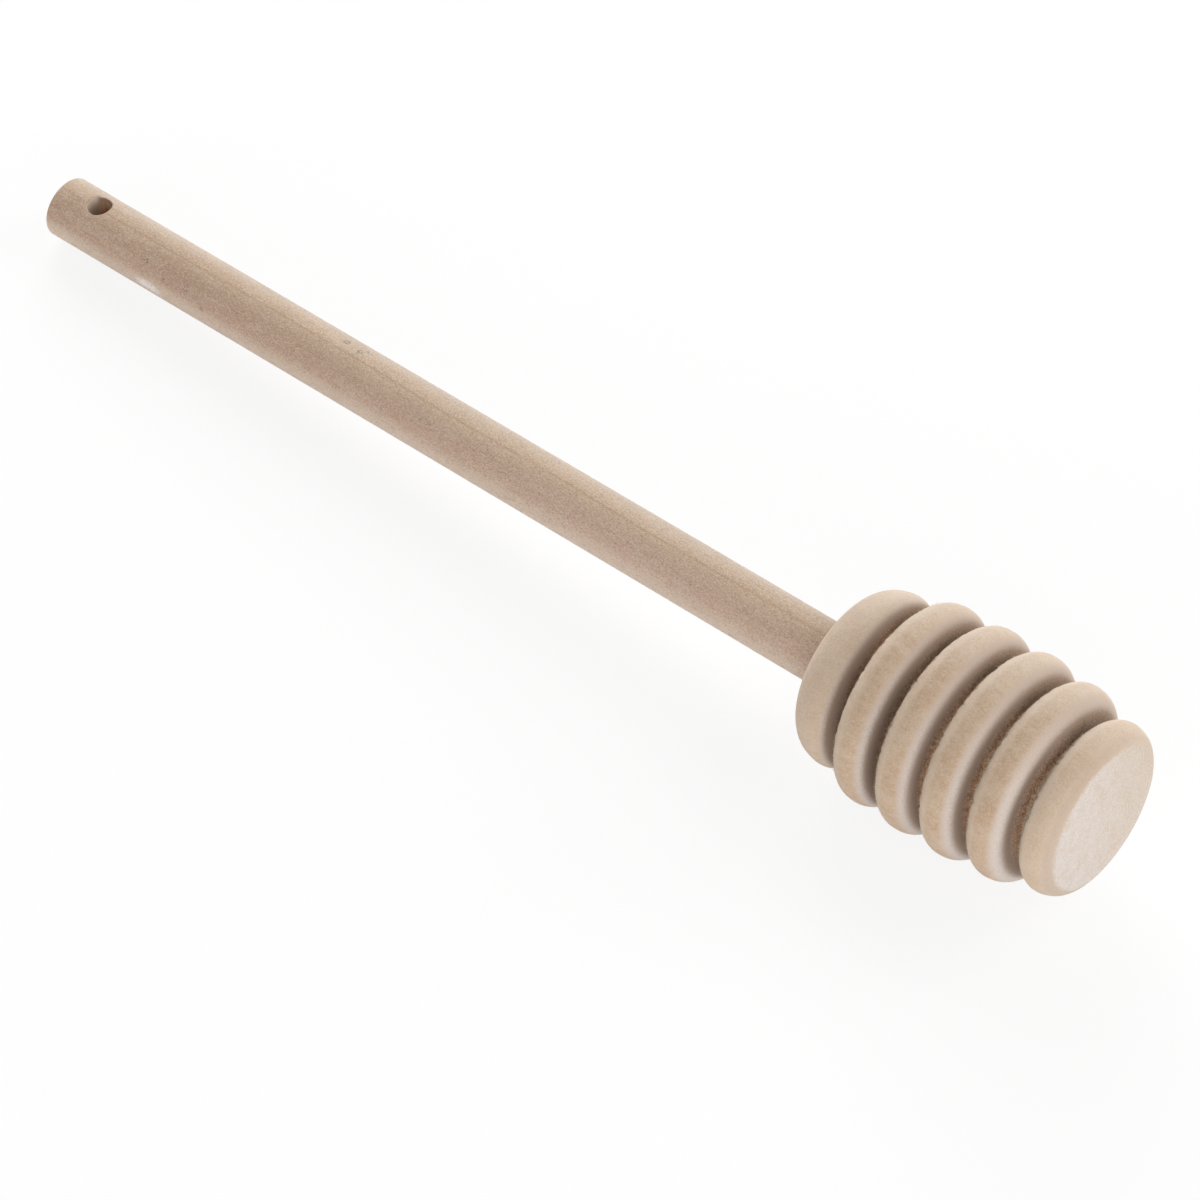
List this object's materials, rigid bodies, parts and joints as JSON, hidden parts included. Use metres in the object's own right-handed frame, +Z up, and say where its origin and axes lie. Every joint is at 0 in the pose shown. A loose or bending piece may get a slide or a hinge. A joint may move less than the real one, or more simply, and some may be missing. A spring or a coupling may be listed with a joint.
{
  "type": "honey dipper",
  "caption": "Wooden honey dipper with a barrel-shaped ribbed and grooved head glued onto a straight round handle with a hang hole.",
  "frame": {"origin": "on the surface the dipper lies on, under the middle of its length, with the tail of the handle and one rib touching the surface", "axes": "+X along the surface from the tail of the handle towards the head, +Z up, +Y to the left of someone looking along +X; the dipper's own axis lies in the XZ plane and climbs towards the head by 3.83 degrees, because the head is thicker than the handle"},
  "size_m": [0.1604, 0.026, 0.0265],
  "materials": {
    "handle_wood": "bare sanded hardwood dowel, matt, slightly pink",
    "head_wood": "bare turned hardwood, matt, pale tan, nearly white end grain",
    "glue": "cured pale wood glue"
  },
  "bodies": {
    "root": {"handle": "handle_wood", "dipper_head": "head_wood", "glue_film": "glue"}
  },
  "joints": []
}
